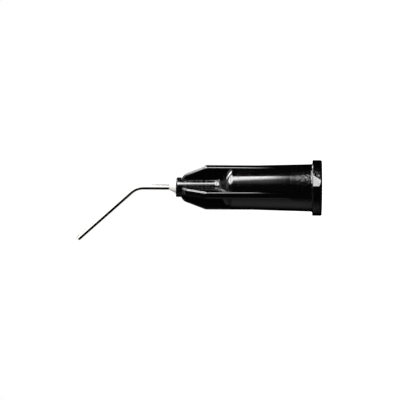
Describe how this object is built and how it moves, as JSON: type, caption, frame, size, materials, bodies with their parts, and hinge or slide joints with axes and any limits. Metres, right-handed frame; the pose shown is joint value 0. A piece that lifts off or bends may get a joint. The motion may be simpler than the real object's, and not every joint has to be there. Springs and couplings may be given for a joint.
{
  "type": "dispensing needle tip",
  "caption": "Luer lock dispensing tip: a ribbed black moulded hub with a thin bent stainless steel tube glued into its nose.",
  "frame": {"origin": "middle of the Luer socket's mouth, in the end face of the lock rim", "axes": "+Z along the hub's axis from the socket to the nose, +X to the side that the cannula bends to"},
  "size_m": [0.0124, 0.0078, 0.0344],
  "materials": {
    "black_polypropylene": "injection moulded black polypropylene, glossy",
    "stainless_steel": "bright drawn stainless steel tube",
    "clear_epoxy": "clear cured adhesive, glossy"
  },
  "bodies": {
    "root": {"hub": "black_polypropylene", "cannula": "stainless_steel", "adhesive": "clear_epoxy"}
  },
  "joints": []
}
